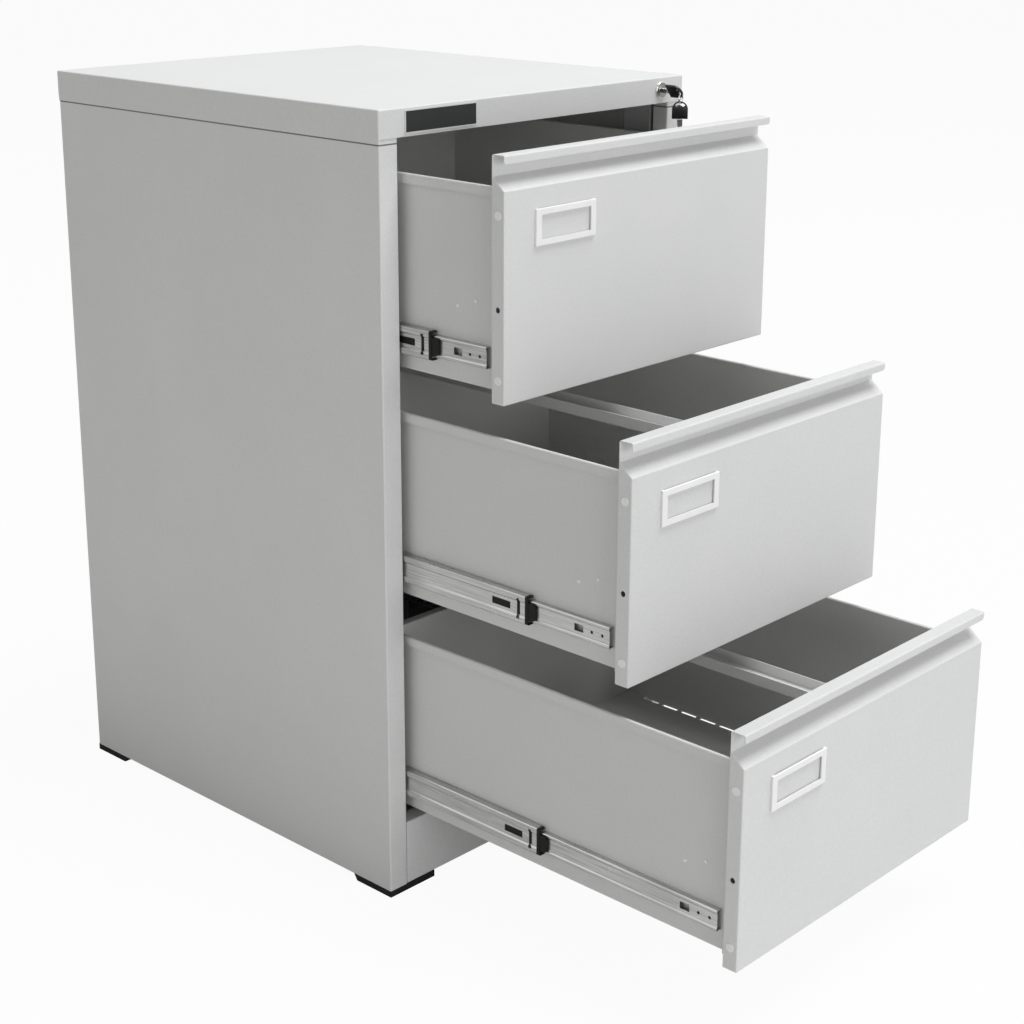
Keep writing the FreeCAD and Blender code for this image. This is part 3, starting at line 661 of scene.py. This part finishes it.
@dataclass
class LockLooks:
    """The gang lock with its key, and the spare key that hangs from it on a split ring.

    Lengths are in millimetres, angles in degrees, and the sizes repeat the key in the lock.
    """

    book: FinishBook
    key_turn: float = 39.0
    key_neck: float = 13.0
    head_width: float = 21.5
    head_straight: float = 13.0
    head_sheet: float = 2.8
    head_edge: float = 0.45
    head_sides: int = 64
    slot_in: float = 5.2
    slot_out: float = 8.8
    slot_sweep: float = 110.0
    slot_steps: int = 20
    cutter_depth: float = 8.4
    ring_r: float = 6.2
    wire_r: float = 0.55
    wire_sides: int = 14
    coil_pitch: float = 1.155
    ring_turns: float = 1.9
    ring_steps: int = 96
    ring_facing: float = 14.0
    ring_place: float = 32.0
    spare_facing: float = 43.0
    hang_gap: float = 0.2
    blade_width: float = 7.4
    blade_sheet: float = 2.0
    blade_length: float = 11.0
    blade_edge: float = 0.15
    blade_cuts: int = 7
    tip_shares: Tuple[float, float, float] = (0.8, 0.55, 1.0)
    notch_depths: Tuple[float, ...] = (1.5, 1.0, 1.5)
    pick_room: float = 0.2
    merge_gap: float = 0.001

    def ring_top(self) -> Vector:
        """Where the ring's wire passes through the slot of the key in the lock, in metres."""
        axis = next(j for j in frame["joints"] if j["name"] == "lock_turn")["pos_m"]
        middle = (self.slot_in + self.slot_out) / 2
        swing = math.radians(self.ring_place)
        turn = math.radians(self.key_turn)
        back = self.key_neck + self.head_straight + middle * math.cos(swing)
        down = middle * math.sin(swing)
        offset = Vector((down * math.sin(turn), -back, -down * math.cos(turn)))
        return Vector(axis) + offset * MM

    def spare_centre(self) -> Vector:
        """Centre of the spare key head's round end, in metres."""
        fall = 2 * self.ring_r + self.slot_out - self.wire_r - self.hang_gap
        return self.ring_top() - Vector((0.0, 0.0, fall * MM))

    def place_spare(self, piece: bpy.types.Object) -> None:
        """Faces a piece of the spare key and hangs it below the ring."""
        piece.rotation_euler = (0.0, 0.0, math.radians(self.spare_facing))
        piece.location = self.spare_centre()
        settle(piece)

    def slot_cutter(self) -> bpy.types.Object:
        """Curved bar that cuts the crescent slot: a plate spun about the head's round end.

        Returns:
            The cutter, centred on the top of the round end.
        """
        bpy.ops.object.select_all(action="DESELECT")
        middle = (self.slot_in + self.slot_out) / 2 * MM
        bpy.ops.mesh.primitive_plane_add(
            size=1.0, rotation=(math.pi / 2, 0.0, 0.0), location=(0.0, 0.0, middle)
        )
        cutter = start_piece("slot_cutter")
        cutter.scale = (self.cutter_depth * MM, (self.slot_out - self.slot_in) * MM, 1.0)
        settle(cutter)
        begin_edit()
        sweep = math.radians(self.slot_sweep)
        bpy.ops.mesh.spin(
            steps=self.slot_steps, angle=sweep, center=(0.0, 0.0, 0.0), axis=(1.0, 0.0, 0.0)
        )
        end_edit()
        lean = sum(point.co.y for point in cutter.data.vertices)
        cutter.rotation_euler = (math.copysign(sweep / 2, lean), 0.0, 0.0)
        settle(cutter)
        return cutter

    def build_head(self) -> bpy.types.Object:
        """Spare key's head: a disc cut in half, drawn down to straight sides, with a crescent slot."""
        bpy.ops.object.select_all(action="DESELECT")
        bpy.ops.mesh.primitive_cylinder_add(
            vertices=self.head_sides,
            radius=self.head_width / 2 * MM,
            depth=self.head_sheet * MM,
            rotation=(0.0, math.pi / 2, 0.0),
        )
        head = start_piece("spare_key_head")
        settle(head)
        begin_edit()
        bpy.ops.mesh.bisect(
            plane_co=(0.0, 0.0, 0.0), plane_no=(0.0, 0.0, 1.0), clear_inner=True, use_fill=True
        )
        pick_faces(head, lambda centre, normal: normal.z < -0.9)
        fall = (0.0, 0.0, -self.head_straight * MM)
        bpy.ops.mesh.extrude_region_move(TRANSFORM_OT_translate={"value": fall})
        end_edit()
        cutter = self.slot_cutter()
        apply_modifier(head, "BOOLEAN", operation="DIFFERENCE", object=cutter, solver="EXACT")
        bpy.data.objects.remove(cutter)
        soften(head, self.head_edge)
        self.place_spare(head)
        return head

    def build_blade(self) -> bpy.types.Object:
        """Spare key's blade: a bar cut into steps along one edge, with a tapered tip."""
        bpy.ops.object.select_all(action="DESELECT")
        middle = -(self.head_straight + self.blade_length / 2) * MM
        bpy.ops.mesh.primitive_cube_add(size=1.0, location=(0.0, 0.0, middle))
        blade = start_piece("spare_key_blade")
        blade.scale = (self.blade_sheet * MM, self.blade_width * MM, self.blade_length * MM)
        settle(blade)
        begin_edit()
        bpy.ops.mesh.subdivide(number_cuts=self.blade_cuts)
        tip = -(self.head_straight + self.blade_length) * MM
        room = self.pick_room * MM
        pick_points(blade, lambda p: p.z < tip + room)
        bpy.ops.transform.resize(value=self.tip_shares)
        step = self.blade_length / (self.blade_cuts + 1) * MM
        edge = self.blade_width / 2 * MM - room
        for i, depth in enumerate(self.notch_depths):
            level = tip + (2 * i + 1.5) * step
            pick_points(blade, lambda p: p.y > edge and level - step < p.z < level)
            bpy.ops.transform.translate(value=(0.0, -depth * MM, 0.0))
        end_edit()
        soften(blade, self.blade_edge)
        self.place_spare(blade)
        return blade

    def build_ring(self) -> bpy.types.Object:
        """Split ring of nearly two turns of wire, hanging upright from the key's slot."""
        bpy.ops.object.select_all(action="DESELECT")
        bpy.ops.mesh.primitive_circle_add(
            vertices=self.wire_sides,
            radius=self.wire_r * MM,
            location=(self.ring_r * MM, 0.0, 0.0),
            rotation=(math.pi / 2, 0.0, 0.0),
        )
        ring = start_piece("key_split_ring")
        settle(ring)
        apply_modifier(
            ring,
            "SCREW",
            axis="Z",
            angle=2 * math.pi * self.ring_turns,
            screw_offset=self.coil_pitch * self.ring_turns * MM,
            steps=self.ring_steps,
            render_steps=self.ring_steps,
            use_smooth_shade=True,
        )
        begin_edit()
        bpy.ops.mesh.remove_doubles(threshold=self.merge_gap * MM)
        bpy.ops.mesh.fill_holes(sides=0)
        end_edit()
        ring.rotation_euler = (math.pi / 2, 0.0, math.radians(self.ring_facing))
        ring.location = self.ring_top() - Vector((0.0, 0.0, self.ring_r * MM))
        settle(ring)
        return ring

    def dress(self) -> None:
        """Dresses the lock and builds, dresses and hangs the spare key."""
        for node in ("lock_housing", "lock_plug", "key_blade"):
            dress_node(node, self.book.get(LOCK_NICKEL))
        for node in ("lock_nut", "lock_cam", "lock_bar"):
            dress_node(node, self.book.get(BAR_ZINC))
        dress_node("lock_bar_guides", self.book.get(GUIDE_NATURAL))
        dress_node("key_head", self.book.get(KEY_BLACK))
        pieces = (
            (self.build_head(), KEY_BLACK, "key_plastic"),
            (self.build_blade(), LOCK_NICKEL, "key_steel"),
            (self.build_ring(), LOCK_NICKEL, "key_steel"),
        )
        for piece, finish, slot in pieces:
            dress(piece, self.book.get(finish))
            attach(piece, "lock_plug")
            LOG.info("hung %s from the lock", piece.name)


@dataclass(frozen=True)
class Lamp:
    """A soft round studio lamp. Watts and metres."""

    name: str
    power: float
    size: float
    place: Tuple[float, float, float]
    aim: Tuple[float, float, float]
    tint: str

    def build(self) -> None:
        """Hangs the lamp and turns it to its aim."""
        data = bpy.data.lights.new(self.name, "AREA")
        data.energy = self.power
        data.color = linear(self.tint)[:3]
        data.shape = "DISK"
        data.size = self.size
        holder = bpy.data.objects.new(self.name, data)
        bpy.context.scene.collection.objects.link(holder)
        holder.location = self.place
        way = Vector(self.aim) - Vector(self.place)
        holder.rotation_euler = way.to_track_quat("-Z", "Y").to_euler()


@dataclass
class Studio:
    """Pale floor, soft lights and the camera at the photograph's angle. Metres and radians."""

    floor_half: float = 60.0
    floor_colour: str = "dedede"
    floor_glow: float = 0.95
    world_light: float = 0.265
    world_tint: str = "fffefc"
    lamps: Tuple[Lamp, ...] = (
        Lamp("studio_key", 475.0, 4.2, (1.6, -2.2, 7.5), (0.0, -0.4, 0.5), "fcfdff"),
        Lamp("studio_fill", 22.0, 2.6, (-4.6, 0.0, 0.8), (0.0, 0.0, 0.4), "fffdfa"),
        Lamp("studio_front", 102.0, 3.0, (-1.0, -6.0, 1.4), (0.0, -0.4, 0.5), "fdfdff"),
    )
    image_px: float = 1024.0
    focal_px: float = 1931.7
    sensor_mm: float = 36.0
    shift_down: float = 0.08
    camera_place: Tuple[float, float, float] = (-1.8305, -1.9933, 1.3012)
    yaw: float = 0.817
    pitch: float = -0.283
    roll: float = -0.003

    def floor_material(self) -> bpy.types.Material:
        """Matt pale floor that keeps the shadow and is nearly white to the camera."""
        material, tree = empty_material("pale_studio_floor")
        matt = add_node(tree, "ShaderNodeBsdfDiffuse", {"Color": linear(self.floor_colour)})
        glow = add_node(tree, "ShaderNodeEmission", {"Color": WHITE, "Strength": 1.0})
        rays = add_node(tree, "ShaderNodeLightPath")
        share = arithmetic(tree, "MULTIPLY", rays.outputs["Is Camera Ray"], self.floor_glow)
        both = add_node(tree, "ShaderNodeMixShader", {0: share, 1: matt.outputs[0], 2: glow.outputs[0]})
        add_node(tree, "ShaderNodeOutputMaterial", {"Surface": both.outputs[0]})
        return material

    def build_floor(self) -> None:
        """Lays the floor under the cabinet."""
        bpy.ops.object.select_all(action="DESELECT")
        bpy.ops.mesh.primitive_plane_add(size=2 * self.floor_half)
        floor = start_piece("studio_floor")
        floor.data.materials.append(self.floor_material())

    def build_world(self) -> None:
        """Even grey light from all round, seen as white by the camera and in reflections."""
        world = bpy.data.worlds.new("studio_world")
        bpy.context.scene.world = world
        world.use_nodes = True
        tree = world.node_tree
        tree.nodes.clear()
        rays = add_node(tree, "ShaderNodeLightPath")
        seen = arithmetic(tree, "MAXIMUM", rays.outputs["Is Camera Ray"], rays.outputs["Is Glossy Ray"])
        strength = remap(tree, seen, self.world_light, 1.0)
        tint = mix_colours(tree, seen, linear(self.world_tint), WHITE)
        light = add_node(tree, "ShaderNodeBackground", {"Color": tint, "Strength": strength})
        add_node(tree, "ShaderNodeOutputWorld", {"Surface": light.outputs[0]})

    def build_camera(self) -> None:
        """Camera solved from the cabinet's corners in the photograph."""
        data = bpy.data.cameras.new("photo_camera")
        data.sensor_width = self.sensor_mm
        data.sensor_fit = "HORIZONTAL"
        data.lens = self.focal_px / self.image_px * self.sensor_mm
        data.shift_y = -self.shift_down
        camera = bpy.data.objects.new("photo_camera", data)
        bpy.context.scene.collection.objects.link(camera)
        camera.location = self.camera_place
        forward = Vector(
            (
                math.sin(self.yaw) * math.cos(self.pitch),
                math.cos(self.yaw) * math.cos(self.pitch),
                math.sin(self.pitch),
            )
        )
        level = forward.to_track_quat("-Z", "Y")
        camera.rotation_mode = "QUATERNION"
        camera.rotation_quaternion = Quaternion(forward, self.roll) @ level
        bpy.context.scene.camera = camera

    def build(self) -> None:
        """Sets up the whole studio."""
        bpy.context.scene.view_settings.view_transform = "Standard"
        self.build_floor()
        self.build_world()
        for lamp in self.lamps:
            lamp.build()
        self.build_camera()
        LOG.info("studio ready")


def main() -> None:
    """Builds the studio, dresses the cabinet and hangs the spare key."""
    logging.basicConfig(level=logging.INFO, format="%(name)s: %(message)s")
    book = FinishBook()
    Studio().build()
    CaseLooks(book).dress()
    for drawer in Drawer:
        DrawerLooks(book, drawer).dress()
    LockLooks(book).dress()


if __name__ == "__main__":
    main()
